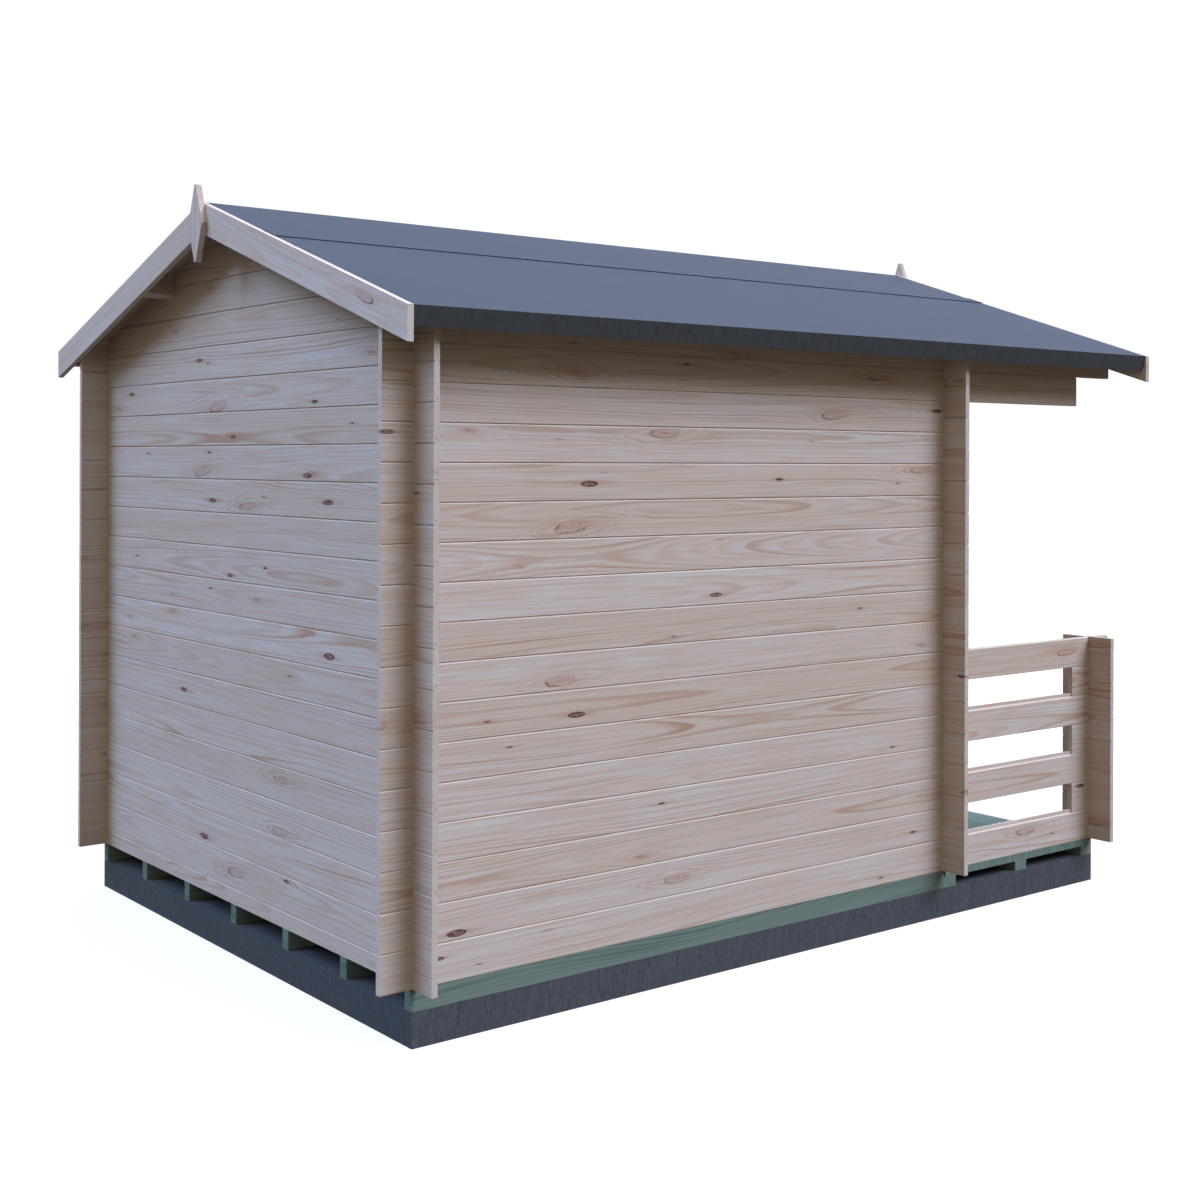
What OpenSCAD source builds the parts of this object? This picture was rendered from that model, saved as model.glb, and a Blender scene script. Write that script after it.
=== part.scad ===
// Log cabin with a covered porch: interlocking logs on treated bearers and a concrete slab,
// with a felted gable roof. Millimetres, +Z up. The porch faces -Y, and the ridge runs along Y.
// The origin is at the middle of the slab's underside.

/* [Cabin] */
// Width over the side walls' outer faces
cabin_w = 2320; // [1900:10:3000]
// Length of the room over the outer faces of its back and front walls
room_l = 2270; // [1800:10:3200]
// Depth of the porch, from the front wall to the porch posts' front faces
porch_l = 875; // [600:5:1400]
// Number of logs in the height of a side wall
wall_courses = 17; // [15:1:19]

/* [Logs] */
// Height that each log adds to its wall
log_h = 115; // [95:1:140]
// Thickness of the logs
log_t = 20; // [16:1:44]
// Height of the half log that starts the cross walls
half_log_h = 54; // [40:1:60]
// How far the log ends run on past a corner
log_end = 105; // [60:1:160]
// Height of the tongue on top of a log
tongue_h = 12; // [6:1:14]
// Width of the tongue
tongue_w = 8; // [5:1:12]
// Chamfer along the top edges of a log
top_chamfer = 5; // [1:0.5:5.5]
// Chamfer along the bottom edges of a log
bottom_chamfer = 1.5; // [0.5:0.5:3]

/* [Porch] */
// Height of the porch rails, in logs; every other course is open
rail_courses = 7; // [5:2:9]
// Thickness of the deck boards
deck_t = 28; // [20:1:34]
// Width of a deck board and the joint beside it
deck_pitch = 98; // [80:1:150]
// Joint between two deck boards
deck_joint = 2; // [1:0.5:8]

/* [Base] */
// Thickness of the concrete slab
slab_t = 105; // [60:5:200]
// Height of the floor bearers
bearer_h = 65; // [50:1:100]
// Width of the floor bearers
bearer_w = 40; // [30:1:60]
// Number of bearers under the room
bearer_count = 7; // [5:1:9]
// How far the room's bearers stop short of the front wall's outer face
bearer_setback = 8; // [2:1:15]
// Thickness of the room's floor boards
floor_t = 16; // [12:1:28]

/* [Roof] */
// Slope of the roof in degrees
roof_pitch = 18; // [14:0.5:26]
// Level distance from a side wall's outer face to the edge of the eave
eave_over = 175; // [100:5:260]
// How far the roof runs on past the back wall and past the porch posts
gable_over = 107; // [106:1:160]
// Rise of the roof boards' underside above the top of the last full log, at the wall's outer face
plate_rise = 7; // [2:1:12]
// Thickness of the roof boards
roof_board_t = 15; // [12:1:24]
// Thickness of the roofing felt
felt_t = 3; // [2:0.5:4]
// Depth of the felted edge along the eave
eave_edge_h = 61; // [50:1:100]
// Thickness of the eave strip behind the felt
eave_strip_t = 15; // [10:1:25]
// Width of the ridge sheet on each side of the ridge, along the slope
ridge_sheet_w = 525; // [300:5:700]
// How far the ridge sheet lies over the sheet below it
felt_lap = 75; // [40:5:120]
// Width of the purlins
purlin_w = 45; // [35:1:60]
// Depth of the purlins at mid slope
purlin_h = 80; // [60:1:100]
// Depth of the purlin at the ridge
ridge_purlin_h = 70; // [50:1:90]
// Level distance from the ridge to the middle of a mid-slope purlin
purlin_x = 542; // [400:2:650]
// Thickness of the barge boards and of the finials
barge_t = 20; // [14:1:28]
// Height of a barge board, measured upright
barge_h = 102; // [80:1:160]

/* [Finials] */
// Width of a finial at its widest
finial_w = 106; // [60:2:160]
// Width of a finial's blunt tips
finial_tip_w = 12; // [6:1:30]
// Height of a finial's top above the ridge
finial_up = 56; // [30:1:120]
// Depth of a finial's widest line below the ridge
finial_waist = 74; // [40:1:120]
// Depth of a finial's bottom below the ridge
finial_down = 202; // [140:1:260]

/* [Door] */
// Width of the doorway between the log ends
door_w = 1200; // [700:10:1400]
// Height of the doorway, in logs above the half log
door_courses = 15; // [13:1:15]
// Face width of the door frame
frame_w = 40; // [30:1:60]
// Depth of the door frame
frame_d = 60; // [46:1:90]
// Thickness of the door leaves
leaf_t = 30; // [26:1:40]
// Width of the stiles of a leaf
stile_w = 75; // [50:1:110]
// Height of the boarded lower panel
panel_h = 620; // [400:10:800]
// Thickness of the glass
glass_t = 4; // [3:1:6]

/* [Fits] */
// Gap between two logs and at every seat
fit = 0.3; // [0.2:0.05:0.6]
// Gap round the door leaves
door_gap = 2; // [1:0.5:4]

/* [Hidden] */

SPRUCE = [0.80, 0.72, 0.66];
TREATED = [0.42, 0.55, 0.49];
CONCRETE = [0.27, 0.28, 0.31];
FELT = [0.26, 0.31, 0.40];
GLASS = [0.75, 0.85, 0.88, 0.4];
STEEL = [0.62, 0.62, 0.64];

// Plan
total_l = room_l + porch_l;
side_x = cabin_w / 2;
back_y = total_l / 2;
front_y = back_y - room_l;
porch_y = -back_y;
wall_z = slab_t + bearer_h;

// Logs
cross_h = log_h - half_log_h;         // what a cross log shares with the side log below its top
wall_h = wall_courses * log_h;
groove_w = tongue_w + 2 * fit;
groove_h = tongue_h + 1;
over = 1;                             // how far a cutter runs on past what it cuts

// Roof. "Level" heights count from the walls' underside, at wall_z
slope = tan(roof_pitch);
under_eave = wall_h + plate_rise;                 // boards' underside at a side wall's outer face
under_ridge = under_eave + side_x * slope;        // boards' underside at the ridge
felt_ridge = under_ridge + (roof_board_t + felt_t) / cos(roof_pitch);
roof_y = back_y + gable_over;                     // half the length of the boards and the felt
eave_x = side_x + eave_over;
barge_y = roof_y + fit;                           // inner face of the barge boards
finial_y = barge_y + barge_t + fit;               // inner face of the finials
gable_top = ceil((under_ridge - half_log_h) / log_h) - 1;   // last course of a gable
eave_course = floor((under_eave - log_end * slope - half_log_h) / log_h);

// Door
door_z = wall_z + half_log_h;
door_h = door_courses * log_h;
frame_grip = 12;                      // how far the frame laps over the log ends
frame_x = door_w / 2 - frame_w + frame_grip;      // inner face of a jamb
sill_h = 30;
frame_y = front_y - (frame_d - log_t) / 2;        // front face of the frame
stop_t = 14;                          // strip of the frame that the leaves close against
stop_w = 12;
leaf_w = frame_x - 1.5 * door_gap;
leaf_h = door_h - frame_w - sill_h - 2 * door_gap;
leaf_y = frame_y + 8;
leaf_z = door_z + sill_h + door_gap;
bottom_rail = 120;
middle_rail = 90;
top_rail = 80;
panel_t = 14;
pane_seat = 10;                       // how far a panel or a pane sits inside the leaf
glass_h = leaf_h - bottom_rail - panel_h - middle_rail - top_rail;

// Door furniture
plate_w = 36;                         // back plate of the handle
plate_h = 170;
plate_t = 4;
handle_share = 0.55;                  // height of the handle, as a share of the leaf's
spindle_d = 20;
spindle_l = 38;                       // from the plate to the back of the lever
lever_l = 120;
lever_h = 18;
lever_t = 12;
lever_return = 16;                    // how far the lever's free end turns back to the door
lock_d = 17;
lock_l = 4;                           // how far the lock stands out of the plate
lock_drop = 58;                       // from the handle down to the lock
knuckle_d = 14;
hinge_h = 90;
hinge_shares = [0.12, 0.5, 0.88];     // heights of the hinges, as shares of the leaf's

// ---- logs ----

// A log's outline: thickness along x, height along y
module log_outline(height, grooved = true, tongued = true) {
    mid = log_t / 2;
    slant = min(top_chamfer, mid - tongue_w / 2 - 0.5);   // a tongue keeps a flat shoulder beside it
    foot = grooved
        ? [[bottom_chamfer, 0], [mid - groove_w / 2, 0], [mid - groove_w / 2, groove_h],
           [mid + groove_w / 2, groove_h], [mid + groove_w / 2, 0], [log_t - bottom_chamfer, 0],
           [log_t, bottom_chamfer]]
        : [[0, 0], [log_t, 0]];
    crown = tongued
        ? [[log_t, height - slant], [log_t - slant, height],
           [mid + tongue_w / 2, height], [mid + tongue_w / 2, height + tongue_h],
           [mid - tongue_w / 2, height + tongue_h], [mid - tongue_w / 2, height],
           [slant, height], [0, height - slant]]
        : [[log_t, height], [0, height]];
    heel = grooved ? [[0, bottom_chamfer]] : [];
    polygon(concat(foot, crown, heel));
}

// What is cut from a log where another crosses it: half of what they share, below and above
module lap_cut(height, low, high, width) {
    translate([-over, -fit, -over])
        cube([width + 2 * over, log_t + 2 * fit, over + low / 2 + (low > 0 ? fit / 2 : 0)]);
    translate([-over, -fit, height - high / 2 - fit / 2])
        cube([width + 2 * over, log_t + 2 * fit, high / 2 + tongue_h + over + fit]);
}

// A log of a left side wall: course number, the y of its two ends, and the walls that cross it
module side_log(course, y0, y1, crossings, tongued = true) {
    z = wall_z + course * log_h;
    difference() {
        translate([-side_x, y1, z])
            rotate([90, 0, 0])
                linear_extrude(y1 - y0) log_outline(log_h - fit, course > 0, tongued);
        for (y = crossings)
            translate([-side_x, y, z]) lap_cut(log_h, half_log_h, cross_h, log_t);
    }
}

// A log that crosses the side walls: its height above wall_z, ends, and the walls it meets
module cross_log(z, height, y, x0, x1, crossings, bottom = false, tongued = true) {
    low = bottom ? 0 : cross_h;
    high = tongued ? half_log_h : 0;
    difference() {
        translate([x0, y, wall_z + z])
            rotate([90, 0, 90])
                linear_extrude(x1 - x0) log_outline(height - fit, !bottom, tongued);
        for (x = crossings)
            translate([x + log_t, y, wall_z + z])
                rotate([0, 0, 90]) lap_cut(height, low, high, log_t);
    }
}

// Everything below the roof boards, for cutting logs and purlins to the slope
module under_roof(gap) {
    z = wall_z + under_ridge - gap / cos(roof_pitch);
    reach = eave_x + log_t;
    translate([0, roof_y + over, 0])
        rotate([90, 0, 0])
            linear_extrude(2 * roof_y + 2 * over)
                polygon([[-reach, 0], [reach, 0], [reach, z - reach * slope], [0, z],
                         [-reach, z - reach * slope]]);
}

back_cross = back_y - log_t;
porch_cross = porch_y;
side_crossings = [-side_x, side_x - log_t];

// Plain logs of a side wall: every course that stops just past the front wall
module wall_logs() {
    for (course = [0 : wall_courses - 3])
        if (course >= rail_courses || course % 2 == 1)
            side_log(course, front_y - log_end, back_y + log_end, [back_cross, front_y]);
}

// Logs that run on past the front wall as the porch rails
module rail_logs() {
    for (course = [0 : 2 : rail_courses - 1])
        difference() {
            side_log(course, porch_y - log_end, back_y + log_end, [back_cross, front_y, porch_cross]);
            if (course == rail_courses - 1)
                translate([-side_x - over, porch_y - log_end - over, wall_z + rail_courses * log_h - fit])
                    cube([log_t + 2 * over, porch_l + over, tongue_h + over]);
        }
}

// The two top logs, which carry the porch eave; the upper one is planed to the roof's slope
module eave_logs() {
    side_log(wall_courses - 2, porch_y + log_end, back_y + log_end, [back_cross, front_y]);
    intersection() {
        top_eave_log();
        under_roof(fit);
    }
}

module top_eave_log() {
    course = wall_courses - 1;
    z = wall_z + course * log_h;
    extra = plate_rise + log_t * slope + over;
    difference() {
        translate([-side_x, back_y + log_end, z])
            rotate([90, 0, 0])
                linear_extrude(total_l + 2 * log_end) log_outline(log_h + extra, true, false);
        for (y = [back_cross, front_y])
            translate([-side_x, y, z])
                lap_cut(log_h + extra, half_log_h, cross_h + 2 * extra, log_t);
    }
}

// Short logs between the rails at the porch corner
module post_side_logs() {
    for (course = [1 : 2 : rail_courses - 2])
        side_log(course, porch_y - log_end, porch_y + log_t + log_end, [porch_cross]);
}

// Short cross logs that lock the rails together at the porch corner
module post_cross_logs() {
    x0 = -side_x - log_end;
    x1 = -side_x + log_t + log_end;
    cross_log(0, half_log_h, porch_y, x0, x1, [-side_x], bottom = true);
    for (course = [0 : rail_courses - 2])
        cross_log(half_log_h + course * log_h, log_h, porch_y, x0, x1, [-side_x]);
    top_z = half_log_h + (rail_courses - 1) * log_h;
    cross_log(top_z, cross_h, porch_y, x0, x1, [-side_x], tongued = false);
}

// Cross wall logs from course a to course b, between two ends
module cross_courses(a, b, y, x0, x1, crossings) {
    for (course = [a : b])
        cross_log(half_log_h + course * log_h, log_h, y, x0, x1, crossings);
}

// The courses of a gable, cut to the slope and round the purlins
module gable_courses(a, y) {
    x1 = side_x + log_end;
    difference() {
        intersection() {
            cross_courses(a, gable_top, y, -x1, x1, side_crossings);
            under_roof(fit);
        }
        ridge_purlin_shape(fit);
        for (m = [0, 1]) mirror([m, 0, 0]) purlin_shape(fit);
    }
}

module left_wall_logs() { color(SPRUCE) wall_logs(); }
module right_wall_logs() { color(SPRUCE) mirror([1, 0, 0]) wall_logs(); }
module left_rail_logs() { color(SPRUCE) rail_logs(); }
module right_rail_logs() { color(SPRUCE) mirror([1, 0, 0]) rail_logs(); }
module left_eave_logs() { color(SPRUCE) eave_logs(); }
module right_eave_logs() { color(SPRUCE) mirror([1, 0, 0]) eave_logs(); }
module left_post_side_logs() { color(SPRUCE) post_side_logs(); }
module right_post_side_logs() { color(SPRUCE) mirror([1, 0, 0]) post_side_logs(); }
module left_post_cross_logs() { color(SPRUCE) post_cross_logs(); }
module right_post_cross_logs() { color(SPRUCE) mirror([1, 0, 0]) post_cross_logs(); }

module back_wall_logs() {
    x1 = side_x + log_end;
    color(SPRUCE) {
        cross_log(0, half_log_h, back_cross, -x1, x1, side_crossings, bottom = true);
        cross_courses(0, eave_course - 1, back_cross, -x1, x1, side_crossings);
    }
}

module back_gable_logs() { color(SPRUCE) gable_courses(eave_course, back_cross); }

// The half log under the front wall; its tongue stops for the door sill
module front_sill_log() {
    x1 = side_x + log_end;
    color(SPRUCE)
        difference() {
            cross_log(0, half_log_h, front_y, -x1, x1, side_crossings, bottom = true);
            translate([-door_w / 2 - frame_grip, front_y - over, wall_z + half_log_h - fit])
                cube([door_w + 2 * frame_grip, log_t + 2 * over, tongue_h + over]);
        }
}

module front_wall_left_logs() {
    color(SPRUCE)
        cross_courses(0, door_courses - 1, front_y, -side_x - log_end, -door_w / 2, [-side_x]);
}

module front_wall_right_logs() {
    color(SPRUCE)
        cross_courses(0, door_courses - 1, front_y, door_w / 2, side_x + log_end, [side_x - log_t]);
}

module front_gable_logs() { color(SPRUCE) gable_courses(door_courses, front_y); }

// ---- base, floor and deck ----

module base_slab() {
    color(CONCRETE) translate([-side_x, -back_y, 0]) cube([cabin_w, total_l, slab_t]);
}

// x of the left face of each room bearer
function bearer_x(i) = -side_x + i * (cabin_w - bearer_w) / (bearer_count - 1);

room_bearer_y = front_y + bearer_setback;       // front ends of the room's bearers

module floor_bearers() {
    color(TREATED)
        for (i = [0 : bearer_count - 1])
            translate([bearer_x(i), room_bearer_y, slab_t])
                cube([bearer_w, back_y - room_bearer_y, bearer_h]);
}

module room_floor() {
    gap = 2;
    color(SPRUCE)
        translate([-side_x + log_t + gap, front_y + log_t + gap, wall_z])
            cube([cabin_w - 2 * log_t - 2 * gap, room_l - 2 * log_t - 2 * gap, floor_t]);
}

// The porch bearers are room bearers laid flat
flat_w = bearer_h;
flat_h = bearer_h - deck_t;
first_flat_y = room_bearer_y - fit - flat_w;
flat_step = (first_flat_y - porch_y) / 2;

module porch_bearers() {
    color(TREATED)
        for (i = [0 : 2])
            translate([-side_x, porch_y + i * flat_step, slab_t]) cube([cabin_w, flat_w, flat_h]);
}

// Short joists between the porch bearers, in line with the room's inner bearers
module porch_joists() {
    color(TREATED)
        for (i = [1 : bearer_count - 2], bay = [0, 1])
            translate([bearer_x(i), porch_y + bay * flat_step + flat_w + fit, slab_t])
                cube([bearer_w, flat_step - flat_w - 2 * fit, flat_h]);
}

module porch_deck() {
    boards = ceil((porch_l - fit) / deck_pitch);
    color(TREATED)
        for (i = [0 : boards - 1]) {
            y0 = porch_y + i * deck_pitch;
            y1 = min(y0 + deck_pitch - deck_joint, front_y - fit);
            translate([-side_x, y0, wall_z - deck_t]) cube([cabin_w, y1 - y0, deck_t]);
        }
}

// ---- door ----

module door_frame() {
    jamb_z = door_z + fit;
    jamb_h = door_h - 2 * fit;
    x1 = door_w / 2 + frame_grip;
    color(SPRUCE) {
        for (m = [0, 1])
            mirror([m, 0, 0])
                difference() {
                    translate([0, 0, jamb_z])
                        linear_extrude(jamb_h)
                            polygon([[frame_x, frame_y], [x1, frame_y], [x1, frame_y + frame_d],
                                     [frame_x - stop_w, frame_y + frame_d],
                                     [frame_x - stop_w, leaf_y + leaf_t + fit],
                                     [frame_x, leaf_y + leaf_t + fit]]);
                    translate([door_w / 2 - 1, front_y - fit, jamb_z - over])
                        cube([frame_grip + 2 * over, log_t + 2 * fit, jamb_h + 2 * over]);
                }
        // sill
        translate([-frame_x + stop_w + fit, frame_y, jamb_z])
            cube([2 * (frame_x - stop_w - fit), frame_d, sill_h - fit]);
        // head, with a tongue up into the log above it
        translate([-frame_x + stop_w + fit, frame_y, door_z + door_h - frame_w])
            cube([2 * (frame_x - stop_w - fit), frame_d, frame_w - fit]);
        translate([-frame_x + stop_w + fit, front_y + log_t / 2 - tongue_w / 2, door_z + door_h - over])
            cube([2 * (frame_x - stop_w - fit), tongue_w, tongue_h + over - fit]);
    }
}

// Left leaf: stiles and rails round a boarded panel and a pane
module leaf() {
    x0 = -leaf_w - door_gap / 2;
    hole_w = leaf_w - 2 * stile_w;
    seat_y = leaf_y + leaf_t / 2;
    difference() {
        translate([x0, leaf_y, leaf_z]) cube([leaf_w, leaf_t, leaf_h]);
        for (hole = [[bottom_rail, panel_h, panel_t],
                     [bottom_rail + panel_h + middle_rail, glass_h, glass_t]]) {
            translate([x0 + stile_w, leaf_y - over, leaf_z + hole[0]])
                cube([hole_w, leaf_t + 2 * over, hole[1]]);
            translate([x0 + stile_w - pane_seat, seat_y - hole[2] / 2 - fit, leaf_z + hole[0] - pane_seat])
                cube([hole_w + 2 * pane_seat, hole[2] + 2 * fit, hole[1] + 2 * pane_seat]);
        }
    }
}

module left_door_leaf() { color(SPRUCE) leaf(); }
module right_door_leaf() { color(SPRUCE) mirror([1, 0, 0]) leaf(); }

// A panel or pane in its seat: height of the hole's foot, its height, and the piece's thickness
module in_leaf(z, height, thickness) {
    x0 = -leaf_w - door_gap / 2;
    translate([x0 + stile_w - pane_seat + fit, leaf_y + leaf_t / 2 - thickness / 2,
               leaf_z + z - pane_seat + fit])
        cube([leaf_w - 2 * stile_w + 2 * pane_seat - 2 * fit, thickness,
              height + 2 * pane_seat - 2 * fit]);
}

module door_panels() {
    color(SPRUCE)
        for (m = [0, 1]) mirror([m, 0, 0]) in_leaf(bottom_rail, panel_h, panel_t);
}

module door_glass() {
    color(GLASS)
        for (m = [0, 1])
            mirror([m, 0, 0])
                in_leaf(bottom_rail + panel_h + middle_rail, glass_h, glass_t);
}

// A flat bar with round ends that lies along x, centred on its first round end
module round_bar(length, width, thickness) {
    run = length - width;
    rotate([90, 0, 0])
        linear_extrude(thickness) {
            translate([0, -width / 2]) square([run, width]);
            for (x = [0, run]) translate([x, 0]) circle(d = width, $fn = 48);
        }
}

// A round pin towards the porch, from the plane y = 0
module pin(length, diameter) {
    rotate([90, 0, 0]) cylinder(h = length, d = diameter, $fn = 48);
}

// Plate, lock and lever: the origin is on the leaf's face, on the handle's axis
module handle() {
    translate([0, 0, -lock_drop / 2 + (plate_h - plate_w) / 2])
        rotate([0, 90, 0]) round_bar(plate_h, plate_w, plate_t);
    translate([0, 0, -lock_drop]) pin(plate_t + lock_l, lock_d);
    pin(plate_t + spindle_l + over, spindle_d);
    translate([0, -plate_t - spindle_l, 0]) round_bar(lever_l, lever_h, lever_t);
    translate([lever_l - lever_h, -plate_t - spindle_l + lever_return, 0])
        pin(lever_return + over, lever_h);
}

// A hinge's knuckle between its two round tips
module knuckle() {
    cylinder(h = hinge_h, d = knuckle_d, $fn = 48);
    for (z = [0, hinge_h]) translate([0, 0, z]) sphere(d = knuckle_d - 2, $fn = 48);
}

// The handle on the right leaf, and the hinges of both leaves
module door_furniture() {
    color(STEEL) {
        translate([door_gap / 2 + stile_w / 2, leaf_y - fit, leaf_z + leaf_h * handle_share]) handle();
        for (m = [0, 1], share = hinge_shares)
            mirror([m, 0, 0])
                translate([frame_x - door_gap / 2, frame_y - knuckle_d / 2 - fit,
                           leaf_z + leaf_h * share - hinge_h / 2])
                    knuckle();
    }
}

// ---- roof ----

// The left slope as a plane: x runs down the slope from the ridge, y is the height above the
// boards' underside, and the shape is drawn between the two roof ends
module on_left_slope(y0 = -roof_y, y1 = roof_y) {
    translate([0, y1, wall_z + under_ridge])
        mirror([1, 0, 0])
            rotate([90, 0, 0])
                linear_extrude(y1 - y0) rotate(-roof_pitch) children();
}

// Plumb cut at the ridge: where a layer at height h above the boards' underside starts
function ridge_s(h) = -h * tan(roof_pitch);

// Lower end of the boards, so that the felt's outer face reaches eave_x
edge_s = (eave_x - (roof_board_t + felt_t) * sin(roof_pitch)) / cos(roof_pitch) - felt_t;

module roof_boards() {
    on_left_slope()
        polygon([[ridge_s(0) + fit, 0], [edge_s, 0], [edge_s, roof_board_t],
                 [ridge_s(roof_board_t) + fit, roof_board_t]]);
}

module left_roof_boards() { color(SPRUCE) roof_boards(); }
module right_roof_boards() { color(SPRUCE) mirror([1, 0, 0]) roof_boards(); }

strip_h = eave_edge_h - roof_board_t - felt_t;

module eave_strip() {
    on_left_slope()
        translate([edge_s - eave_strip_t, -strip_h]) square([eave_strip_t, strip_h - fit]);
}

module left_eave_strip() { color(SPRUCE) eave_strip(); }
module right_eave_strip() { color(SPRUCE) mirror([1, 0, 0]) eave_strip(); }

// A felt sheet from under the ridge sheet down over the eave
module lower_felt() {
    h0 = roof_board_t + fit;
    h1 = roof_board_t + felt_t;
    top_s = ridge_sheet_w - felt_lap;
    on_left_slope()
        polygon([[top_s, h0], [edge_s + fit, h0], [edge_s + fit, -strip_h],
                 [edge_s + felt_t, -strip_h], [edge_s + felt_t, h1], [top_s, h1]]);
}

module left_felt() { color(FELT) lower_felt(); }
module right_felt() { color(FELT) mirror([1, 0, 0]) lower_felt(); }

// A point of the left slope in the x and z of the cabin, from its place along and above the boards
function slope_point(p) = [-p[0] * cos(roof_pitch) - p[1] * sin(roof_pitch),
                           p[1] * cos(roof_pitch) - p[0] * sin(roof_pitch)];

function reversed(list) = [for (i = [len(list) - 1 : -1 : 0]) list[i]];

// The ridge sheet: bent over the ridge, stepping up where it lies on the sheets below
module ridge_felt() {
    low = roof_board_t + fit;
    high = roof_board_t + felt_t + fit;
    step_s = ridge_sheet_w - felt_lap - fit;
    under = [[ridge_s(low), low], [step_s, low], [step_s, high], [ridge_sheet_w, high]];
    top = [[ridge_sheet_w, high + felt_t], [step_s - felt_t, high + felt_t],
           [step_s - 2 * felt_t, low + felt_t], [ridge_s(low + felt_t), low + felt_t]];
    left = [for (p = concat(under, top)) slope_point(p)];
    right = [for (p = reversed(left)) if (p[0] < -fit) [-p[0], p[1]]];
    color(FELT)
        translate([0, roof_y, wall_z + under_ridge])
            rotate([90, 0, 0])
                linear_extrude(2 * roof_y) polygon(concat(left, right));
}

// Purlin at mid slope, square to the roof boards
module purlin_shape(gap = 0) {
    s = purlin_x / cos(roof_pitch);
    on_left_slope()
        translate([s - purlin_w / 2 - gap, -purlin_h - gap])
            square([purlin_w + 2 * gap, purlin_h + gap - fit]);
}

// Purlin at the ridge, its top planed to both slopes
module ridge_purlin_shape(gap = 0) {
    half = purlin_w / 2 + gap;
    top = wall_z + under_ridge - fit;
    translate([0, roof_y, 0])
        rotate([90, 0, 0])
            linear_extrude(2 * roof_y)
                polygon([[-half, top - ridge_purlin_h - gap], [half, top - ridge_purlin_h - gap],
                         [half, top - half * slope], [0, top], [-half, top - half * slope]]);
}

module ridge_purlin() { color(SPRUCE) ridge_purlin_shape(); }
module left_purlin() { color(SPRUCE) purlin_shape(); }
module right_purlin() { color(SPRUCE) mirror([1, 0, 0]) purlin_shape(); }

// Left back barge board, cut plumb at both ends, its top level with the felt
module barge() {
    top = wall_z + felt_ridge;
    foot = top - eave_x * slope;
    translate([0, barge_y + barge_t, 0])
        rotate([90, 0, 0])
            linear_extrude(barge_t)
                polygon([[-fit / 2, top], [-eave_x, foot], [-eave_x, foot - barge_h],
                         [-fit / 2, top - barge_h]]);
}

// Back finial: a long diamond with blunt tips
module finial() {
    top = wall_z + felt_ridge;
    translate([0, finial_y + barge_t, 0])
        rotate([90, 0, 0])
            linear_extrude(barge_t)
                polygon([[-finial_tip_w / 2, top + finial_up], [finial_tip_w / 2, top + finial_up],
                         [finial_w / 2, top - finial_waist], [finial_tip_w / 2, top - finial_down],
                         [-finial_tip_w / 2, top - finial_down], [-finial_w / 2, top - finial_waist]]);
}

module back_left_barge() { color(SPRUCE) barge(); }
module back_right_barge() { color(SPRUCE) mirror([1, 0, 0]) barge(); }
module front_left_barge() { color(SPRUCE) mirror([0, 1, 0]) barge(); }
module front_right_barge() { color(SPRUCE) mirror([1, 0, 0]) mirror([0, 1, 0]) barge(); }
module back_finial() { color(SPRUCE) finial(); }
module front_finial() { color(SPRUCE) mirror([0, 1, 0]) finial(); }

base_slab();
floor_bearers();
room_floor();
porch_bearers();
porch_joists();
porch_deck();
left_wall_logs();
left_rail_logs();
left_eave_logs();
right_wall_logs();
right_rail_logs();
right_eave_logs();
left_post_side_logs();
left_post_cross_logs();
right_post_side_logs();
right_post_cross_logs();
back_wall_logs();
back_gable_logs();
front_sill_log();
front_wall_left_logs();
front_wall_right_logs();
front_gable_logs();
door_frame();
left_door_leaf();
right_door_leaf();
door_panels();
door_glass();
door_furniture();
ridge_purlin();
left_purlin();
right_purlin();
left_roof_boards();
right_roof_boards();
left_eave_strip();
right_eave_strip();
left_felt();
right_felt();
ridge_felt();
back_left_barge();
back_right_barge();
front_left_barge();
front_right_barge();
back_finial();
front_finial();
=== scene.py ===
"""Looks of the log cabin: the finish of every surface, its boards and fasteners, light and camera.

Metres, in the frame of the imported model: the porch faces -Y, and the ridge runs along Y.
"""

import math

import bmesh
import bpy
from mathutils import Matrix, Vector


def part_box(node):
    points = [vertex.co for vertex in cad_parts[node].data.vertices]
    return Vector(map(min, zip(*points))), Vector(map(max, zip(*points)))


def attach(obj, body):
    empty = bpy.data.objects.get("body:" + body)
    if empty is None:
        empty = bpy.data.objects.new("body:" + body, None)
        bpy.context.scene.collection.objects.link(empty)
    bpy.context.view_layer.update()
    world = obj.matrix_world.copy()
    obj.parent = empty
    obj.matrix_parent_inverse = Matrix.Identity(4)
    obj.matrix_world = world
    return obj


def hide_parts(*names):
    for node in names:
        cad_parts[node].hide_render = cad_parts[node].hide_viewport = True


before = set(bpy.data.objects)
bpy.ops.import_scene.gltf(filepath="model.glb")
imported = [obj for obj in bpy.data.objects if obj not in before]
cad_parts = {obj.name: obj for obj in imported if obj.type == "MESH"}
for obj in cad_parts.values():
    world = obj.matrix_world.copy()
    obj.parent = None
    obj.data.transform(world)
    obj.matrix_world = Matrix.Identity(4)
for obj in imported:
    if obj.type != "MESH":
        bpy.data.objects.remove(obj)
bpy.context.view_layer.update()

# ---- sizes of the cabin that the finishes and the added pieces follow ----

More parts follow.
